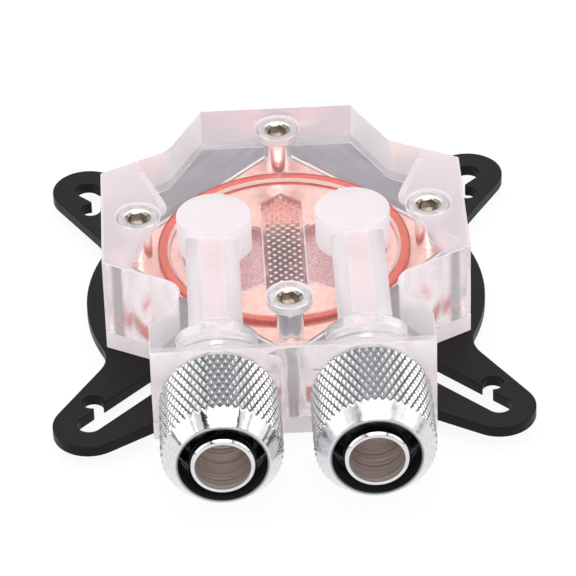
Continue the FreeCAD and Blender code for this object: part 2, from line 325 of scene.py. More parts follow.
def stretched(tree, place, stretch):
    """Coordinates times a factor for each axis."""
    made = node(tree, "ShaderNodeVectorMath", operation="MULTIPLY")
    feed(tree, made.inputs[0], place)
    feed(tree, made.inputs[1], stretch)
    return made.outputs[0]


def noise(tree, place, scale, detail, **more):
    """Noise at the coordinates, from 0 to 1."""
    made = node(tree, "ShaderNodeTexNoise", Vector=place, Scale=scale, Detail=detail, **more)
    return made.outputs["Fac"]


def grain_group():
    """Shared effect: noise on Object coordinates, stretched, as colour, roughness and height."""
    group, given, result = effect_group(
        "surface_grain",
        [("Stretch", "Vector"), ("Dark", "Color"), ("Light", "Color"),
         ("Gloss", "Float"), ("Matt", "Float")],
        [("Colour", "Color"), ("Roughness", "Float"), ("Height", "Float")],
    )
    place = group.nodes.new("ShaderNodeTexCoord").outputs["Object"]
    grain = noise(group, stretched(group, place, given.outputs["Stretch"]), 1.0, 3.0)
    spread = ramp(group, grain, 0.3, 0.7, kind="LINEAR")
    tone = blend_colour(group, spread, given.outputs["Dark"], given.outputs["Light"])
    gloss = ramp(group, spread, 0.0, 1.0, given.outputs["Gloss"], given.outputs["Matt"], "LINEAR")
    group.links.new(tone, result.inputs["Colour"])
    group.links.new(gloss, result.inputs["Roughness"])
    group.links.new(grain, result.inputs["Height"])
    return group


surface_grain = grain_group()


def relief(tree, height, distance):
    """Normal bent by a fine relief of that height."""
    bump = node(tree, "ShaderNodeBump", Strength=0.5, Distance=distance, Height=height)
    return bump.outputs[0]


def grained(name, dark, light, gloss, matt, stretch, bump, metallic=0.0):
    """A finish with the shared grain in its colour, roughness and bump."""
    material, tree, shader = new_finish(name)
    shader.inputs["Metallic"].default_value = metallic
    grain = node(
        tree, "ShaderNodeGroup", node_tree=surface_grain,
        Stretch=stretch, Dark=dark, Light=light, Gloss=gloss, Matt=matt)
    tree.links.new(grain.outputs["Colour"], shader.inputs["Base Color"])
    tree.links.new(grain.outputs["Roughness"], shader.inputs["Roughness"])
    if bump > 0:
        tree.links.new(relief(tree, grain.outputs["Height"], bump), shader.inputs["Normal"])
    return material, tree, shader, grain.outputs["Colour"]


def object_axes(tree):
    """The piece's own coordinates, then their x, y and z."""
    place = tree.nodes.new("ShaderNodeTexCoord").outputs["Object"]
    return place, *node(tree, "ShaderNodeSeparateXYZ", Vector=place).outputs


def distance_of(tree, first, second):
    """Distance from the line where both coordinates are 0."""
    flat = node(tree, "ShaderNodeCombineXYZ", X=first, Y=second)
    made = node(tree, "ShaderNodeVectorMath", operation="LENGTH", Vector=flat.outputs[0])
    return made.outputs["Value"]


chamber_floor_dark = (0.58, 0.32, 0.34, 1)
chamber_floor_light = (0.84, 0.54, 0.54, 1)
chamber_edge = 17.35 * mm
strip_half = 3.38 * mm
strip_slope = 0.794
strip_reach = 15.97 * mm
# Painted shade between the pins, with lighter patches at random, and painted highlights on the
# pins' tops; towards the back the roots are painted lighter and the tops darker.
pin_root_painted_shade = (0.27, 0.105, 0.125, 1)
pin_root_lighter_shade = (0.52, 0.33, 0.36, 1)
pin_root_back_painted_light = (1.0, 0.64, 0.57, 1)
pin_top_painted_highlight = (1.0, 0.80, 0.72, 1)
pin_top_back_painted_shade = (0.82, 0.44, 0.40, 1)


def copper_finish():
    """Peach on top, mauve and speckled on the milled floors, with painted shade between the pins.
    The pins' tops get a painted highlight; towards the back the roots are painted lighter and
    the tops darker.

    The strip of pins ends in points, where slope * |x| + |y| reaches its reach.
    """
    material, tree, shader, colour = grained(
        "machined_copper", (0.92, 0.50, 0.43, 1), (1.0, 0.66, 0.59, 1),
        gloss=0.30, matt=0.42, stretch=(900, 900, 900), bump=0.04 * mm, metallic=1.0)
    place, across, along, upward = object_axes(tree)
    low = below(tree, upward, 3.8 * mm, 0.3 * mm)
    sunk = below(tree, upward, 3.90 * mm, 0.08 * mm)
    back = above(tree, along, 5.0 * mm, 4.0 * mm)
    aside, ahead = maths(tree, "ABSOLUTE", across), maths(tree, "ABSOLUTE", along)
    pointed = maths(tree, "MULTIPLY_ADD", aside, strip_slope, ahead)
    pointed = maths(tree, "LESS_THAN", pointed, strip_reach)
    strip = times(tree, band(tree, across, 0.0, strip_half, 0.04 * mm), pointed)
    chamber = maths(tree, "LESS_THAN", distance_of(tree, across, along), chamber_edge)
    speck = above(tree, noise(tree, place, 3400.0, 2.0), 0.42, 0.25)
    floor = blend_colour(tree, speck, chamber_floor_dark, chamber_floor_light)
    colour = blend_colour(tree, times(tree, low, chamber), colour, floor)
    # Painted shade in the roots and painted highlights on the tops, turned over towards the back.
    deep = times(tree, sunk, strip, chamber)
    sheen = above(tree, noise(tree, place, 330.0, 1.0), 0.5, 0.2)
    root = blend_colour(tree, sheen, pin_root_painted_shade, pin_root_lighter_shade)
    root = blend_colour(tree, back, root, pin_root_back_painted_light)
    colour = blend_colour(tree, deep, colour, root)
    tops = times(tree, maths(tree, "SUBTRACT", 1.0, sunk), strip, chamber)
    top = blend_colour(tree, back, pin_top_painted_highlight, pin_top_back_painted_shade)
    tree.links.new(blend_colour(tree, tops, colour, top), shader.inputs["Base Color"])
    metal = maths(tree, "SUBTRACT", 1.0, times(tree, deep, 0.7))
    tree.links.new(metal, shader.inputs["Metallic"])
    return material


def dress(node_name, material):
    """Gives a carried-over CAD node its finish."""
    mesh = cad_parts[node_name].data
    mesh.materials.clear()
    mesh.materials.append(material)


copper = copper_finish()
dress("copper_base", copper)


# Mounting bracket: a cross of 2 mm steel with a slotted arm at each corner, stamped, softly
# broken at the edges and painted satin black. It lies between the copper and the cover.
def merged_copy(node_name, name):
    """A copy of a CAD node's mesh, with its loose triangles joined into whole faces."""
    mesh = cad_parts[node_name].data.copy()
    mesh.name = name
    body = bmesh.new()
    body.from_mesh(mesh)
    bmesh.ops.remove_doubles(body, verts=body.verts, dist=2e-6)
    bmesh.ops.dissolve_limit(
        body, angle_limit=math.radians(0.4), use_dissolve_boundaries=False,
        verts=body.verts, edges=body.edges, delimit={"NORMAL"},
    )
    body.to_mesh(mesh)
    body.free()
    mesh.materials.clear()
    if "custom_normal" in mesh.attributes:
        mesh.attributes.remove(mesh.attributes["custom_normal"])
    mesh.shade_smooth()
    mesh.set_sharp_from_angle(angle=math.radians(30))
    return add_object(name, mesh)


def break_edges(piece, width):
    """Rounds the piece's sharp edges over the width."""
    bevel = piece.modifiers.new("broken_edges", "BEVEL")
    bevel.width = width
    bevel.segments = 2
    bevel.limit_method = "ANGLE"
    bevel.angle_limit = math.radians(35)
    bevel.use_clamp_overlap = False
    bevel.harden_normals = True


opening_reach = 29.15 * mm
# Painted highlight along the opening's edge, cream from the copper it mirrors.
glint_half = 0.28 * mm
copper_tinted_glint = (1.0, 0.85, 0.75, 1)


def bracket_finish():
    """Satin black paint, with a painted highlight along the opening, where |x| + |y| is its reach.
    """
    material, tree, shader, paint = grained(
        "satin_black_paint", (0.005, 0.0045, 0.005, 1), (0.010, 0.009, 0.010, 1),
        gloss=0.34, matt=0.48, stretch=(2600, 2600, 2600), bump=0.02 * mm)
    shader.inputs["Specular IOR Level"].default_value = 0.13
    across, along, upward = object_axes(tree)[1:]
    reach = maths(tree, "ADD", maths(tree, "ABSOLUTE", across), maths(tree, "ABSOLUTE", along))
    upper = above(tree, upward, 3.9 * mm, 0.05 * mm)
    # Painted highlight: the copper's reflection in the edge of the opening.
    glint = times(tree, band(tree, reach, opening_reach, glint_half, 0.08 * mm), upper)
    tree.links.new(blend_colour(tree, glint, paint, copper_tinted_glint), shader.inputs["Base Color"])
    return material


bracket = merged_copy("mounting_bracket", "bracket_painted")
bracket.data.materials.append(bracket_finish())
break_edges(bracket, 0.16 * mm)
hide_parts("mounting_bracket")
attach(bracket, "root")


# Chamber seal: an orange rubber ring, pressed flat in its groove between copper and cover.
# The port seals are black rubber rings, pressed into the cover under the fittings' flanges.
def full_turn(steps):
    """Angles of evenly spaced steps round a circle."""
    return np.arange(steps) * 2 * math.pi / steps


def turned(radius, height, angle, x=0.0, y=0.0):
    """Points of a surface turned about the upright line at x, y."""
    height = height + 0 * angle
    return np.stack([x + radius * np.cos(angle), y + radius * np.sin(angle), height], axis=-1)


def quads_between(upper, lower):
    """Quads a, a + 1, b + 1, b from closed rows of point numbers to the rows after them."""
    quads = np.stack([upper, np.roll(upper, -1, 1), np.roll(lower, -1, 1), lower], axis=-1)
    return quads.reshape(-1, 4).tolist()


def skin(name, rows, ring=False):
    """Quads between rows of points, each row a closed loop round an axis.

    A ring also joins its last row to its first. Any other skin is closed by one point in
    the middle of its first and of its last row. The faces are turned to look outward.
    """
    count, around = rows.shape[:2]
    points = rows.reshape(-1, 3)
    grid = np.arange(count * around).reshape(count, around)
    if ring:
        faces = quads_between(grid, np.roll(grid, -1, axis=0))
    else:
        faces = quads_between(grid[:-1], grid[1:])
        points = np.vstack([points, rows[0].mean(axis=0), rows[-1].mean(axis=0)])
        first = np.full(around, count * around)
        start, stop = grid[0], grid[-1]
        ends = np.stack([
            np.stack([first, np.roll(start, -1), start], axis=-1),
            np.stack([first + 1, stop, np.roll(stop, -1)], axis=-1)], axis=1)
        faces += ends.reshape(-1, 3).tolist()
    corners = np.array([[face[0], face[1], face[2]] for face in faces])
    second = np.array([[face[0], face[2], face[-1]] for face in faces])
    triangles = np.vstack([corners, second[corners[:, 2] != second[:, 2]]])
    a, b, c = (points[triangles[:, index]] - points.mean(axis=0) for index in range(3))
    if np.einsum("ij,ij->i", a, np.cross(b, c)).sum() < 0:
        faces = [face[::-1] for face in faces]
    piece = mesh_piece(name, points, faces)
    piece.data.shade_smooth()
    return piece


def saw(turns):
    """Triangle wave: 0 at every whole turn, 1 midway between."""
    return 1 - np.abs(2 * (turns - np.floor(turns)) - 1)


seal_radius = 20.12
seal_half_width = 0.79
seal_squareness = 2.8


def chamber_seal():
    """Ring whose section is |x / a| ** n + |z / b| ** n = 1, carried round the chamber."""
    low, high = (np.array(corner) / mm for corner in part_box("chamber_o_ring"))
    half_height = (high[2] - low[2]) / 2 - 0.005
    section = full_turn(48)[:, None]
    power = 2 / seal_squareness
    outward = np.sign(np.cos(section)) * np.abs(np.cos(section)) ** power
    upward = np.sign(np.sin(section)) * np.abs(np.sin(section)) ** power
    radius = seal_radius + seal_half_width * outward
    height = (low[2] + high[2]) / 2 + half_height * upward
    return skin("chamber_seal", turned(radius, height, full_turn(240)) * mm, ring=True)


orange = grained(
    "orange_rubber", (0.60, 0.060, 0.020, 1), (0.76, 0.095, 0.036, 1),
    gloss=0.45, matt=0.6, stretch=(700, 700, 700), bump=0.02 * mm)[0]
orange.node_tree.nodes["Principled BSDF"].inputs["Specular IOR Level"].default_value = 0.2
seal = chamber_seal()
seal.data.materials.append(orange)
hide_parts("chamber_o_ring")
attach(seal, "root")
black_rubber = grained(
    "black_rubber", (0.012, 0.012, 0.012, 1), (0.02, 0.02, 0.02, 1),
    gloss=0.45, matt=0.6, stretch=(1500, 1500, 1500), bump=0.01 * mm)[0]
dress("port_o_ring_left", black_rubber)
dress("port_o_ring_right", black_rubber)


# Clear cover: a block of cast acrylic, sawn and milled to shape, drilled and tapped. Its top
# is polished and its front walls nearly so, the back walls are milky from the saw, and the
# wells, channels and tapped ports are frosted by the cutter.
acrylic_index = 1.49
light_through_milk = 0.42
seat_gap = 0.02
edge_break = 0.16
foot_height = 7.35
front_notch = (15.90, -20.60)
back_notch = 18.70
screw_places = ((24.0, 0.0), (-24.0, 0.0), (0.0, 24.0), (0.0, -24.0))
screw_hole = 2.2
head_recess = 3.7
well_side = 11.5
well_along = 1.6
well_radius = 6.2
well_top = 17.7
chamber_radius = 17.3
groove_inner = 18.864
groove_outer = 20.93
port_side = 12.0
port_height = 12.65
channel_radius = 4.4
cover_face = -38.0
thread_root = 6.58
port_pitch = 1.337
port_thread_cut = 0.45


def acrylic(name, haze, roughness, milk, marks=None, mark_height=0.0):
    """Clear acrylic with some of its surface milky. Haze is the milky share.

    The milky share scatters light both back and through. Lamps reach what lies inside.
    Returns the material, its tree, the input for the haze, and those for the milk's colour.
    """
    material, tree, shader = new_finish(name)
    give(shader, {
        "Base Color": white, "Transmission Weight": 1.0, "Roughness": roughness,
        "IOR": acrylic_index})
    cloud = tree.nodes.new("ShaderNodeBsdfPrincipled")
    give(cloud, {"Base Color": milk, "Roughness": 0.6, "Specular IOR Level": 0.2})
    through = node(tree, "ShaderNodeBsdfTranslucent", Color=milk)
    milky = mix_shaders(tree, light_through_milk, cloud, through)
    if marks is not None:
        grain = node(tree, "ShaderNodeGroup", node_tree=surface_grain, Stretch=marks)
        normal = relief(tree, grain.outputs["Height"], mark_height)
        tree.links.new(normal, shader.inputs["Normal"])
        tree.links.new(normal, cloud.inputs["Normal"])
    body = mix_shaders(tree, haze, shader, milky)
    path = tree.nodes.new("ShaderNodeLightPath")
    clear = tree.nodes.new("ShaderNodeBsdfTransparent")
    mix = mix_shaders(tree, path.outputs["Is Shadow Ray"], body, clear)
    tree.links.new(mix.outputs[0], tree.nodes["Material Output"].inputs["Surface"])
    return material, tree, body.inputs[0], (cloud.inputs["Base Color"], through.inputs["Color"])


veil_tip = 19.1
veil_tip_y = 1.8
veil_slope = 0.37
veil_share = 0.76
veil_strip = 1.2
strip_share = 0.2
front_margin = -36.55 * mm
margin_share = 0.55
side_rim = 29.5
rim_highlight_share = 0.9


def polished_top():
    """Clear top, with a milky veil over each side ear outside a rounded V round its screw.

    The V is |x| = tip + slope * (hypot(y - tip y, 1) - 1), with a lighter strip behind.
    The top is milky too along its front edge, and along its side edges as a painted highlight.
    """
    # The veil's pink milk is painted copper-coloured light.
    material, tree, haze = acrylic("acrylic_polished", 0.0, 0.0, (0.96, 0.88, 0.91, 1))[:3]
    across, ahead = object_axes(tree)[1:3]
    aside = maths(tree, "DIVIDE", maths(tree, "ABSOLUTE", across), mm)
    along = maths(tree, "SUBTRACT", maths(tree, "DIVIDE", ahead, mm), veil_tip_y)
    bend = maths(tree, "SQRT", maths(tree, "MULTIPLY_ADD", along, along, 1.0))
    edge = maths(tree, "MULTIPLY_ADD", maths(tree, "SUBTRACT", bend, 1.0), veil_slope, veil_tip)
    out = maths(tree, "SUBTRACT", aside, edge)
    veil = node(
        tree, "ShaderNodeMix", data_type="FLOAT", Factor=below(tree, along, -1.0, 2.0),
        A=above(tree, out, -0.02, 0.06), B=above(tree, out, -0.6, 2.4)).outputs["Result"]
    strip = times(
        tree, band(tree, out, veil_strip / 2, veil_strip / 2, 0.06),
        above(tree, along, -1.0, 2.5), below(tree, along, 11.0, 0.1))
    share = maths(tree, "ADD", times(tree, veil, veil_share), times(tree, strip, strip_share))
    margin = below(tree, ahead, front_margin, 0.12 * mm)
    share = maths(tree, "MAXIMUM", share, times(tree, margin, margin_share))
    # Painted highlight: a milky band along the top's side edges.
    rim = above(tree, aside, side_rim, 0.08)
    share = maths(tree, "MAXIMUM", share, times(tree, rim, rim_highlight_share))
    tree.links.new(share, haze)
    return material


copper_reach = 28.3 * mm


def faced_underside():
    """Face-milled underside: clear where it lies on the copper, hazy and streaked outside.

    Seen at a low angle from within, it is nearly a mirror.
    """
    material, tree, haze = acrylic("acrylic_faced", 0.3, 0.08, (0.86, 0.83, 0.90, 1))[:3]
    across, ahead = object_axes(tree)[1:3]
    aside = maths(tree, "ABSOLUTE", across)
    along = maths(tree, "ABSOLUTE", ahead)
    reach = maths(tree, "ADD", aside, along)
    slide = maths(tree, "SUBTRACT", aside, along)
    strokes = node(
        tree, "ShaderNodeCombineXYZ", X=times(tree, reach, 420.0), Y=times(tree, slide, 45.0))
    streaks = noise(tree, strokes.outputs[0], 1.0, 3.0, Roughness=0.6)
    streaks = ramp(tree, streaks, 0.3, 0.7, 0.32, 0.54, "LINEAR")
    outside = above(tree, reach, copper_reach, 0.1 * mm)
    share = maths(tree, "MULTIPLY_ADD", streaks, outside, 0.03)
    slant = node(tree, "ShaderNodeLayerWeight", Blend=0.5).outputs["Facing"]
    steep = maths(tree, "MAXIMUM", below(tree, slant, 0.45, 0.15), 0.1)
    tree.links.new(times(tree, share, steep), haze)
    return material


def milled_wall(name, haze, roughness, milk, mark_height=0.045 * mm):
    """A wall with fine marks along it, which smear what is seen through it up and down."""
    return acrylic(name, haze, roughness, milk, (60, 60, 8000), mark_height)[0]


def drilled_channel():
    """Frosted drilling, with painted copper light in the drill's rings along the strip seen
    clearly.
    """
    finish = acrylic(
        "acrylic_drilled", 0.5, 0.5, (0.95, 0.92, 0.96, 1), (3000, 1400, 3000), 0.03 * mm)
    material, tree, milks = finish[0], finish[1], finish[3]
    place, across = object_axes(tree)[:2]
    middle = band(tree, maths(tree, "ABSOLUTE", across), port_side * mm, 1.2 * mm, 0.9 * mm)
    # Painted copper-coloured light along the channel's middle, in the pattern of the drill's
    # rings.
    strokes = noise(tree, stretched(tree, place, (160, 2400, 160)), 1.0, 2.0)
    painted_copper_light = maths(tree, "MULTIPLY_ADD", above(tree, strokes, 0.5, 0.12), 0.6, 0.4)
    colour = blend_colour(
        tree, times(tree, painted_copper_light, middle), (0.96, 0.95, 0.985, 1), (1.0, 0.76, 0.79, 1))
    for milk in milks:
        tree.links.new(colour, milk)
    return material


arc_steps = 10
sharp_radius = 0.2


def plan_path(corners):
    """Closed outline from (x, y, radius) corners, each turned into an arc of that radius."""
    corners = np.array(corners, float)
    out = []
    for index, (x, y, radius) in enumerate(corners):
        here = np.array([x, y])
        before = corners[index - 1][:2] - here
        after = corners[(index + 1) % len(corners)][:2] - here
        before /= np.linalg.norm(before)
        after /= np.linalg.norm(after)
        count = arc_steps if radius > 0 else 2
        radius = radius if radius > 0 else sharp_radius
        half = math.acos(np.clip(before @ after, -1, 1)) / 2
        inward = (before + after) / np.linalg.norm(before + after)
        middle = here + inward * radius / math.sin(half)
        start = here + before * radius / math.tan(half) - middle
        stop = here + after * radius / math.tan(half) - middle
        share = (np.arange(count + 1) / count)[:, None]
        sweep = math.pi - 2 * half
        arc = np.sin((1 - share) * sweep) * start + np.sin(share * sweep) * stop
        out.append(middle + arc / math.sin(sweep))
    return np.vstack(out)


def inset(path, distance):
    """The closed outline moved inward by distance, along the mean of its side normals."""
    ahead = np.roll(path, -1, axis=0) - path
    ahead /= np.linalg.norm(ahead, axis=1)[:, None]
    behind = np.roll(ahead, 1, axis=0)
    normal = np.stack([-(ahead + behind)[:, 1], (ahead + behind)[:, 0]], axis=-1)
    length = np.linalg.norm(normal, axis=1)[:, None]
    return path + normal / length * distance / (length / 2)


def prism(name, path, levels):
    """Upright solid with flat ends. Levels are (height, inset of the outline there)."""
    rows = [
        np.column_stack([inset(path, cut), np.full(len(path), height)]) for height, cut in levels]
    grid = np.arange(len(rows) * len(path)).reshape(len(rows), len(path))
    faces = quads_between(grid[:-1], grid[1:]) + [grid[0][::-1].tolist(), grid[-1].tolist()]
    return mesh_piece(name, np.vstack(rows) * mm, faces)


def upright_hole(name, x, y, profile, around=96):
    """Solid of the hole: profile of (radius, height) turned about the upright line at x, y."""
    profile = np.array(profile, float)
    points = turned(profile[:, :1], profile[:, 1:], full_turn(around), x, y)
    return skin(name, points * mm)


def port_thread(depth, angle):
    """Depth of the thread groove at a depth and an angle round the port axis."""
    return port_thread_cut * saw(depth / port_pitch + angle / (2 * math.pi))


def about_port(side, radius, depth, angle):
    """Points about a port's axis: x = side + r sin a, z = height + r cos a, y = face - d."""
    return np.stack([
        side + radius * np.sin(angle), cover_face - depth,
        port_height + radius * np.cos(angle)], axis=-1)


def port_hole(name, side):
    """Tapped hole, cone and channel: radius over depth in front of the cover's face."""
    angle = full_turn(128)
    rows = [(6.95, 1.0), (6.95, 0.1), (thread_root, -0.27)]
    rows += [(thread_root, depth) for depth in np.arange(-0.4, -6.9, -port_pitch / 9)]
    rows += [(thread_root, -7.0), (thread_root, -9.0), (channel_radius + 0.2, -11.1)]
    rows += [(channel_radius, depth) for depth in (-11.3, -20.0, -30.0, -39.6)]
    rows = np.array(rows)
    depth = rows[:, 1:] + 0 * angle
    fade = np.clip((depth + 6.8) / 0.5, 0, 1) * np.clip((-depth - 0.2) / 0.3, 0, 1)
    radius = rows[:, :1] - fade * port_thread(depth, angle)
    return skin(name, about_port(side, radius, depth, angle) * mm)


def ring_groove(name, inner, outer, bottom, top):
    """Groove of square section, with its inner upper corner cut off at a slope."""
    profile = np.array([
        (inner, bottom), (outer, bottom), (outer, top), (inner + 0.5, top), (inner, top - 0.9)])
    points = turned(profile[:, :1], profile[:, 1:], full_turn(240))
    return skin(name, points * mm, ring=True)


def basin_path(side):
    """Plan of a basin: straight by the pins, sloping ends, and the chamber's circle outside."""
    strip, front, back, slope, radius = 3.4, -9.7, 6.0, 0.58, chamber_radius
    ends = []
    for start, step in ((front, -1), (back, 1)):
        a = 1 + slope * slope
        b = 2 * (strip + step * slope * start)
        c = strip ** 2 + start ** 2 - radius ** 2
        run = (-b + math.sqrt(b * b - 4 * a * c)) / (2 * a)
        ends.append((strip + run, start + step * slope * run))
    first = math.atan2(ends[0][1], ends[0][0])
    last = math.atan2(ends[1][1], ends[1][0])
    angle = first + (last - first) * np.arange(41) / 40
    rim = radius * np.stack([np.cos(angle), np.sin(angle)], axis=-1)
    path = np.vstack([[(strip, back), (strip, front)], rim])
    if side < 0:
        path = path[::-1] * [-1, 1]
    return path


def cut_away(piece, cutters):
    """Takes the cutters out of the piece, for good, and deletes them."""
    for cutter in cutters:
        cut = piece.modifiers.new("cut", "BOOLEAN")
        cut.operation = "DIFFERENCE"
        cut.solver = "EXACT"
        cut.object = cutter
    graph = bpy.context.evaluated_depsgraph_get()
    mesh = bpy.data.meshes.new_from_object(piece.evaluated_get(graph))
    piece.modifiers.clear()
    piece.data = mesh
    for cutter in cutters:
        bpy.data.objects.remove(cutter)


def clear_block():
    """The sawn outline with broken edges, less every hole, well, channel and groove."""
    low, high = (np.array(corner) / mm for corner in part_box("clear_cover"))
    bottom, top = low[2], high[2]
    right = [
        (22.7, low[1] + seat_gap, 0), (22.7, -30.5, 0), (*front_notch, 4.0),
        (high[0], -12.8, 0), (high[0], 12.8, 0), (back_notch, back_notch, 4.2),
        (12.8, high[1], 0),
    ]
    left = [(-x, y, radius) for x, y, radius in reversed(right)]
    block = prism("cover_acrylic", plan_path(right + left), [
        (bottom + seat_gap, edge_break), (bottom + seat_gap + edge_break, 0.0),
        (foot_height, 0.0), (top - edge_break, 0.0), (top, edge_break)])
    seat = top - 3.2 - seat_gap
    cutters = []
    for x, y in screw_places:
        cutters.append(upright_hole("screw_hole", x, y, [
            (screw_hole, bottom - 1), (screw_hole, seat), (head_recess, seat),
            (head_recess, top - 0.15), (head_recess + 0.3, top + 0.15),
            (head_recess + 0.3, top + 1)]))
    for side in (-1, 1):
        cutters.append(upright_hole("well", side * well_side, well_along, [
            (well_radius, bottom - 1), (well_radius, well_top - 0.25),
            (well_radius - 0.07, well_top - 0.07), (well_radius - 0.25, well_top)], 128))
    for side in (-1, 1):
        cutters.append(port_hole("port", side * port_side))
        cutters.append(prism("relief", basin_path(side), [
            (bottom - 1, 0.0), (bottom + 0.4, 0.0), (bottom + 0.6, 0.2)]))
    cutters.append(ring_groove(
        "groove", groove_inner, groove_outer, bottom - 1, bottom + 1.5 + seat_gap))
    cut_away(block, cutters)
    return block


# The pink in these milk colours is painted copper-coloured light; the groove edge's peach is
# painted light from the orange seal beneath it.
finishes = {
    "polished": polished_top(),
    "front_wall": milled_wall("acrylic_milled", 0.25, 0.03, (1.0, 0.96, 0.98, 1)),
    "front_face": milled_wall("acrylic_front", 0.34, 0.02, (1.0, 0.965, 0.975, 1), 0.003 * mm),
    "front_foot": milled_wall("acrylic_front_foot", 0.9, 0.2, (1.0, 0.95, 0.965, 1)),
    # The back walls' darker mauve milk is painted shade, tinted by the copper's light.
    "back_wall": milled_wall("acrylic_sawn", 0.75, 0.08, (0.82, 0.71, 0.77, 1)),
    # The notch walls are the same sawn acrylic with brighter milk: painted light.
    "notch_wall": milled_wall("acrylic_notch", 0.66, 0.15, (1.0, 0.96, 0.98, 1)),
    "back_foot": milled_wall("acrylic_back_foot", 0.38, 0.1, (0.97, 0.92, 0.96, 1)),
    "underside": faced_underside(),
    "recess": acrylic("acrylic_recess", 0.03, 0.03, (0.95, 0.91, 0.94, 1))[0],
    "drilled": drilled_channel(),
    "well_wall": acrylic(
        "acrylic_well_wall", 0.92, 0.35, (1.0, 0.98, 0.99, 1), (300, 300, 300), 0.01 * mm)[0],
    "cone": acrylic("acrylic_cone", 0.22, 0.1, (1.0, 0.97, 0.99, 1))[0],
    "well_roof": acrylic(
        "acrylic_well_roof", 0.85, 0.4, (0.89, 0.87, 0.89, 1), (300, 300, 300), 0.01 * mm)[0],
    "bored": acrylic("acrylic_bored", 0.12, 0.06, (0.95, 0.93, 0.96, 1))[0],
    "cup": acrylic("acrylic_cup", 0.6, 0.25, (1.0, 0.97, 0.98, 1))[0],
    "thread": acrylic("acrylic_thread", 0.45, 0.12, (1.0, 0.97, 0.99, 1))[0],
    "edge": acrylic("acrylic_edge", 0.9, 0.4, (1.0, 0.97, 0.98, 1))[0],
    "groove_edge": acrylic("acrylic_groove_edge", 0.92, 0.3, (1.0, 0.91, 0.89, 1))[0],
    "on_seal": orange,
}


def face_centres(mesh):
    """x, y and z of every face's middle, in mm."""
    centre = np.empty(len(mesh.polygons) * 3)
    mesh.polygons.foreach_get("center", centre)
    return (centre / mm).reshape(-1, 3).T


def dress_cover(piece):
    """Sorts the cover's faces by how they were cut, from their place and their direction."""
    mesh = piece.data
    x, y, z = face_centres(mesh)
    normal = np.empty(len(x) * 3)
    mesh.polygons.foreach_get("normal", normal)
    across, along, upward = normal.reshape(-1, 3).T
    order = list(finishes)
    kind = np.full(len(x), order.index("polished"), np.int32)

    def put(where, name):
        kind[where] = order.index(name)

    from_port = np.hypot(np.abs(x) - port_side, z - port_height)
    from_well = np.hypot(np.abs(x) - well_side, y - well_along)
    from_centre = np.hypot(x, y)
    from_screw = np.min([np.hypot(x - place[0], y - place[1]) for place in screw_places], axis=0)
    wall = np.abs(upward) < 0.5
    slanted = (np.abs(upward) > 0.3) & (np.abs(upward) < 0.95)
    ceiling = upward < -0.6
    put(wall, "front_wall")
    put(wall & (along > -0.2), "back_wall")
    put(wall & (along > 0.2) & (np.abs(across) > 0.3), "notch_wall")
    put(wall & (y < cover_face + 0.1), "front_face")
    foot = wall & (z < foot_height)
    put(foot, "back_foot")
    put(foot & (along < -0.2), "front_foot")
    put(ceiling & (z < 4.3), "underside")
    put(slanted & ((z < 4.3) | (z > 21.0)), "edge")
    put(ceiling & (z > 4.4) & (z < 5.7), "recess")
    put(wall & (z < 5.7) & (from_centre < chamber_radius + 0.3), "recess")
    in_well = (from_well < well_radius + 0.15) & (z < well_top + 0.2)
    put(in_well & (z > 4.7), "well_wall")
    put(in_well & (z > well_top - 0.3), "well_roof")
    on_channel = np.abs(from_port - channel_radius) < 0.15
    put(on_channel & (y > -28.9) & (y < 0.5) & (np.abs(along) < 0.3), "drilled")
    in_port = from_port < 6.75
    put(in_port & (y > -31.2) & (y < -26.75), "cone")
    put(in_port & (y < -31.2) & (y > -37.9), "thread")
    put(in_port & (y < -37.2) & (from_port > 6.65), "thread")
    put((from_screw < 2.4) & (z > 4.1), "bored")
    put((from_screw < 3.9) & (from_screw > 2.4) & (z > 17.9) & (z < 21.2), "cup")
    groove = wall & (z > 4.02) & (z < 5.6)
    put(groove & (np.abs(from_centre - groove_inner) < 0.05), "on_seal")
    put(groove & (np.abs(from_centre - groove_outer) < 0.05), "on_seal")
    put(slanted & (z > 4.7) & (z < 5.6) & (np.abs(from_centre - 19.1) < 0.3), "groove_edge")
    put(slanted & (z > 4.35) & (z < 4.65) & (from_centre < chamber_radius + 0.3), "edge")
    mesh.materials.clear()
    for name in order:
        mesh.materials.append(finishes[name])
    mesh.polygons.foreach_set("material_index", kind)
    mesh.shade_smooth()
    mesh.set_sharp_from_angle(angle=math.radians(28))
    mesh.update()


cover = clear_block()
dress_cover(cover)
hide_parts("clear_cover")
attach(cover, "root")


# Cover screws: four M3 cap screws with a wide low head, turned from steel and bright nickelled.
# The thread is rolled on the whole shank, and the hexagon socket is broached into the head.
screw_turn = math.radians(10.0)
socket_flats = 3.0
socket_depth = 1.7
socket_mouth = 2.05
head_height = 2.8
head_round = 0.25
socket_reach = 1.95
socket_lowest = 17.0
shank = 1.5
thread_top = 17.5
thread_pitch = 0.5
thread_depth = 0.3


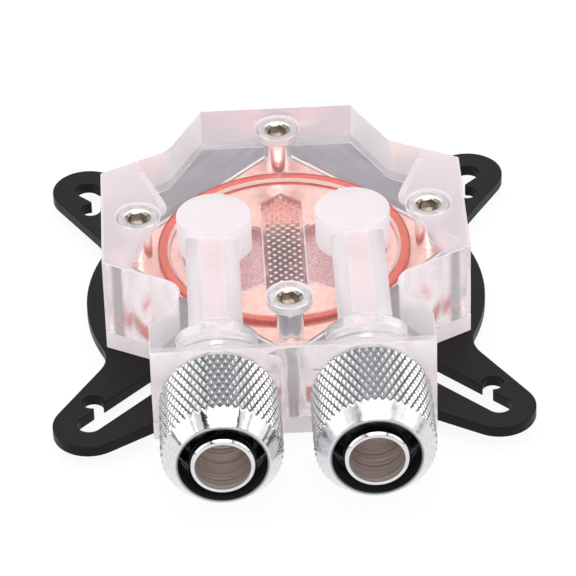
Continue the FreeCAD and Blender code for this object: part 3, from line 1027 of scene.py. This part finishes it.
def cap_screw(node_name):
    """Profile (radius, height) from the socket's floor over the head and down the thread.

    In the socket the radius is that of a hexagon, flats / 2 / cos(angle to its flat), and
    on the shank it is the screw's radius less depth * saw(height / pitch + angle / turn).
    """
    low, high = (np.array(corner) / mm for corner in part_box(node_name))
    middle = (low + high) / 2
    top = high[2]
    seat = top - head_height
    head = (high[0] - low[0]) / 2
    angle = screw_turn + full_turn(96)
    to_flat = np.mod(angle - screw_turn, math.pi / 3) - math.pi / 6
    hexagon = socket_flats / 2 / np.cos(to_flat)
    rows = [
        (hexagon * 0.5, top - socket_depth - 0.15),
        (hexagon * 0.98, top - socket_depth),
        (hexagon, top - socket_depth + 0.05),
        (hexagon, top - (socket_mouth - hexagon) * 0.6 - 0.04),
        (hexagon + 0.03, top - (socket_mouth - hexagon) * 0.6 + 0.02),
        (socket_mouth - 0.03, top - 0.03),
        (socket_mouth + 0.02, top),
        (2.6, top),
        (head - head_round - 0.05, top),
    ]
    for bend in np.arange(7) * math.pi / 12:
        rows.append((
            head - head_round + head_round * math.sin(bend),
            top - head_round + head_round * math.cos(bend)))
    rows += [(head, seat + 0.1), (head - 0.1, seat), (shank + 0.25, seat), (shank, seat - 0.2)]
    for level in np.arange(seat - 0.5, low[2] + 0.55, -thread_pitch / 8):
        fade = np.clip((seat - 0.4 - level) / 0.8, 0, 1)
        groove = saw(level / thread_pitch + angle / (2 * math.pi))
        rows.append((shank - thread_depth * fade * groove, level))
    rows += [(1.2, low[2] + 0.05), (1.0, low[2])]
    radius, height = (np.array([row[part] + 0 * angle for row in rows]) for part in (0, 1))
    points = turned(radius, height, angle, middle[0], middle[1])
    piece = skin(node_name.replace("cover_screw", "cap_screw"), points * mm)
    piece.data.set_sharp_from_angle(angle=math.radians(32))
    return piece


def second_finish(piece, material, where):
    """Gives one more material to the faces whose centre (in mm) passes the test."""
    mesh = piece.data
    mesh.materials.append(material)
    kind = np.empty(len(mesh.polygons), np.int32)
    mesh.polygons.foreach_get("material_index", kind)
    kind[where(*face_centres(mesh))] = len(mesh.materials) - 1
    mesh.polygons.foreach_set("material_index", kind)


def near(middle, radius, low, high):
    """Test for faces inside a radius round an upright line and between two heights."""
    def where(x, y, z):
        inside = np.hypot(x - middle[0], y - middle[1]) < radius
        return inside & (z > low) & (z < high)
    return where


broached = grained(
    "broached_steel", (0.34, 0.30, 0.26, 1), (0.62, 0.57, 0.51, 1),
    gloss=0.18, matt=0.3, stretch=(900, 900, 900), bump=0.02 * mm, metallic=1.0)[0]
nickel = grained(
    "bright_nickel", (0.60, 0.57, 0.57, 1), (0.71, 0.68, 0.68, 1),
    gloss=0.14, matt=0.24, stretch=(700, 700, 700), bump=0.0, metallic=1.0)[0]
# The thread keeps its own grain, but its dark tone is painted shade from the hole it sits in.
rolled = grained(
    "thread_painted_shade", (0.20, 0.195, 0.19, 1), (0.34, 0.33, 0.325, 1),
    gloss=0.1, matt=0.18, stretch=(500, 500, 2500), bump=0.01 * mm, metallic=1.0)[0]
for place in ("front", "back", "left", "right"):
    node_name = "cover_screw_" + place
    screw = cap_screw(node_name)
    screw.data.materials.append(nickel)
    middle = [(a + b) / 2 / mm for a, b in zip(*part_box(node_name))]
    second_finish(screw, broached, near(middle, socket_reach, socket_lowest, math.inf))
    second_finish(screw, rolled, near(middle, shank + 0.1, 0.0, thread_top))
    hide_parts(node_name)
    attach(screw, "root")


# Fitting bodies: brass turned on a lathe and chrome plated, with a threaded stud, a flange,
# a collar thread and a barb for the tube. The bore is left brownish, with its boring rings.
chrome = grained(
    "polished_chrome", (0.68, 0.685, 0.70, 1), (0.77, 0.775, 0.79, 1),
    gloss=0.05, matt=0.10, stretch=(500, 60, 500), bump=0.0, metallic=1.0)[0]
bored = grained(
    "bored_metal", (0.38, 0.31, 0.285, 1), (0.90, 0.80, 0.76, 1),
    gloss=0.28, matt=0.4, stretch=(60, 1800, 60), bump=0.15 * mm, metallic=0.6)[0]
body_edge_round = 0.09
stud_step = 0.17


def within(side, radius, first_depth, last_depth):
    """Test for faces inside a radius round a port's axis and between two depths."""
    def where(x, y, z):
        depth = cover_face - y
        inside = np.hypot(x - side, z - port_height) < radius
        return inside & (depth > first_depth) & (depth < last_depth)
    return where


def rounded(profile, size):
    """Replaces each corner of a closed profile by three points on an arc-like cut."""
    corners = np.array(profile, float)
    out = []
    for index, corner in enumerate(corners):
        before = corners[index - 1] - corner
        after = corners[(index + 1) % len(corners)] - corner
        reach = min(size, np.linalg.norm(before) / 3, np.linalg.norm(after) / 3)
        start = corner + before / np.linalg.norm(before) * reach
        stop = corner + after / np.linalg.norm(after) * reach
        out += [start, (start + stop + 2 * corner) / 4, stop]
    return np.array(out)


body_profile = [
    (4.4, -5.0), (6.1, -5.0), (6.5, -4.6), (6.5, -0.9), (6.2, -0.6), (6.2, 0.0), (8.5, 0.0),
    (8.5, 1.8), (7.6, 1.8), (7.6, 11.5), (4.95, 12.5), (4.95, 16.4), (5.25, 16.7), (5.25, 18.2),
    (4.95, 18.7), (4.4, 18.7),
]


def fitting_body(node_name, side):
    """The profile, finely stepped on the stud, turned about the port's axis."""
    profile = rounded(body_profile, body_edge_round)
    fine = []
    for index, corner in enumerate(profile):
        after = profile[(index + 1) % len(profile)]
        on_stud = 6.0 < corner[0] < 6.6
        steps = max(1, int(np.linalg.norm(after - corner) / stud_step)) if on_stud else 1
        for step in range(steps):
            fine.append(corner + (after - corner) * step / steps)
    fine = np.array(fine)
    angle = full_turn(144)
    radius = fine[:, :1] + 0 * angle
    depth = fine[:, 1:] + 0 * angle
    on_stud = (depth > -4.65) & (depth < -0.85) & (radius > 6.3)
    radius -= on_stud * port_thread(depth, angle)
    points = about_port(side[1], radius, depth, angle)
    piece = skin("hose_fitting_" + side[0], points * mm, ring=True)
    piece.data.set_sharp_from_angle(angle=math.radians(35))
    piece.data.materials.append(chrome)
    second_finish(piece, bored, within(side[1], 4.5, -4.9, 18.62))
    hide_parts(node_name)
    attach(piece, "root")


sides = (("left", -port_side), ("right", port_side))
for side in sides:
    fitting_body("fitting_body_" + side[0], side)


# Collar nuts: turned brass, diamond knurled by two crossing wheels, then chrome plated.
# The cone of the nose is turned after the knurl, so it ends the knurl in a row of points.
knurl_around = 50
knurl_along = 2.6
knurl_depth = 0.45
collar_radius = 9.7
nose_radius = 9.3
nose_start = 15.8
nose_end = 18.1
nose_slope = (nose_radius - 7.55) / (nose_end - nose_start)
# The inside of the collar's mouth is painted near black: painted shade deep in the mouth.
mouth_shade = grained(
    "collar_mouth_painted_shade", (0.008, 0.008, 0.008, 1), (0.020, 0.018, 0.018, 1),
    gloss=0.5, matt=0.6, stretch=(80, 1500, 80), bump=0.01 * mm)[0]


def groove_group():
    """Shared effect: a mask of the knurl's grooves, where shade is painted."""
    group, given, result = effect_group(
        "knurl_grooves", [("Depth", "Float")], [("Groove", "Float")])
    place = group.nodes.new("ShaderNodeTexCoord").outputs["Object"]
    in_mm = node(group, "ShaderNodeVectorMath", operation="SCALE", Vector=place, Scale=1 / mm)
    across, along, upward = node(
        group, "ShaderNodeSeparateXYZ", Vector=in_mm.outputs[0]).outputs
    aside = maths(group, "SUBTRACT", maths(group, "ABSOLUTE", across), port_side)
    radius = distance_of(group, aside, maths(group, "SUBTRACT", upward, port_height))
    depth = maths(group, "SUBTRACT", cover_face, along)
    cone = maths(group, "SUBTRACT", depth, nose_start)
    cone = maths(group, "MULTIPLY_ADD", cone, -nose_slope, nose_radius)
    sunk = maths(group, "SUBTRACT", maths(group, "MINIMUM", cone, 9.62), radius)
    sunk = maths(group, "DIVIDE", sunk, given.outputs["Depth"])
    group.links.new(above(group, sunk, 0.22, 0.6), result.inputs["Groove"])
    return group


knurl_grooves = groove_group()


def knurled_chrome(name, gloss, matt, groove_painted_shade):
    """Chrome with painted shade, a darker tone, in the grooves of the knurl."""
    material, tree, shader, polish = grained(
        name, (0.66, 0.665, 0.68, 1), (0.77, 0.775, 0.79, 1), gloss, matt,
        stretch=(1500, 1500, 1500), bump=0.03 * mm, metallic=1.0)
    grooves = node(tree, "ShaderNodeGroup", node_tree=knurl_grooves, Depth=knurl_depth)
    colour = blend_colour(tree, grooves.outputs["Groove"], polish, groove_painted_shade)
    tree.links.new(colour, shader.inputs["Base Color"])
    return material


# The dark groove tones are painted shade.
collar_finish = {
    "left": knurled_chrome("chrome_left_collar", 0.05, 0.10, (0.26, 0.26, 0.28, 1)),
    "right": knurled_chrome("chrome_right_collar", 0.18, 0.26, (0.24, 0.24, 0.26, 1)),
}


def collar_nut(node_name, side):
    """Knurl height = 1 - (1 - m) ** 1.7, with m the smaller of two crossing saw waves.

    The waves run along angle / c + depth / a and angle / c - depth / a. The radius is that
    of the knurl or of the nose cone, whichever is smaller.
    """
    angle = full_turn(knurl_around * 12)
    back = [(7.65, 1.8), (7.75, 1.8), (9.1, 1.8), (9.25, 1.8)]
    knurl = [(collar_radius, level) for level in np.arange(1.95, 17.0, knurl_along / 12)]
    front = [(9.0, 16.95), (8.2, 17.35), (7.62, 18.0), (7.57, 18.07), (7.5, nose_end)]
    mouth = [
        (7.1, nose_end), (7.03, 18.07), (7.0, 18.0), (7.0, 13.65), (7.65, 12.9), (7.65, 1.9)]
    profile = np.array(back + knurl + front + mouth)
    radius = profile[:, :1] + 0 * angle
    depth = profile[:, 1:] + 0 * angle
    turns = knurl_around * angle / (2 * math.pi)
    one = saw(turns + depth / knurl_along)
    other = saw(turns - depth / knurl_along)
    height = 1 - (1 - np.minimum(1, 1.12 * np.minimum(one, other))) ** 1.7
    knurled = np.zeros_like(radius, bool)
    knurled[len(back):len(back) + len(knurl)] = True
    nose = nose_radius - (depth - nose_start) * nose_slope
    tail = 9.25 + (depth - 1.8) * 1.2
    pattern = collar_radius - knurl_depth * (1 - height)
    radius = np.where(knurled, np.minimum(np.minimum(pattern, nose), tail), radius)
    cone = (depth > 16.9) & (depth < 18.0) & (radius > 7.6)
    radius = np.where(cone, nose, radius)
    points = about_port(side[1], radius, depth, angle)
    piece = skin("knurled_collar_" + side[0], points * mm, ring=True)
    piece.data.set_sharp_from_angle(angle=math.radians(38))
    piece.data.materials.append(collar_finish[side[0]])
    # Painted shade on the mouth's inner wall.
    second_finish(piece, mouth_shade, within(side[1], 7.2, 13.0, 17.95))
    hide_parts(node_name)
    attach(piece, "root")


for side in sides:
    collar_nut("collar_nut_" + side[0], side)
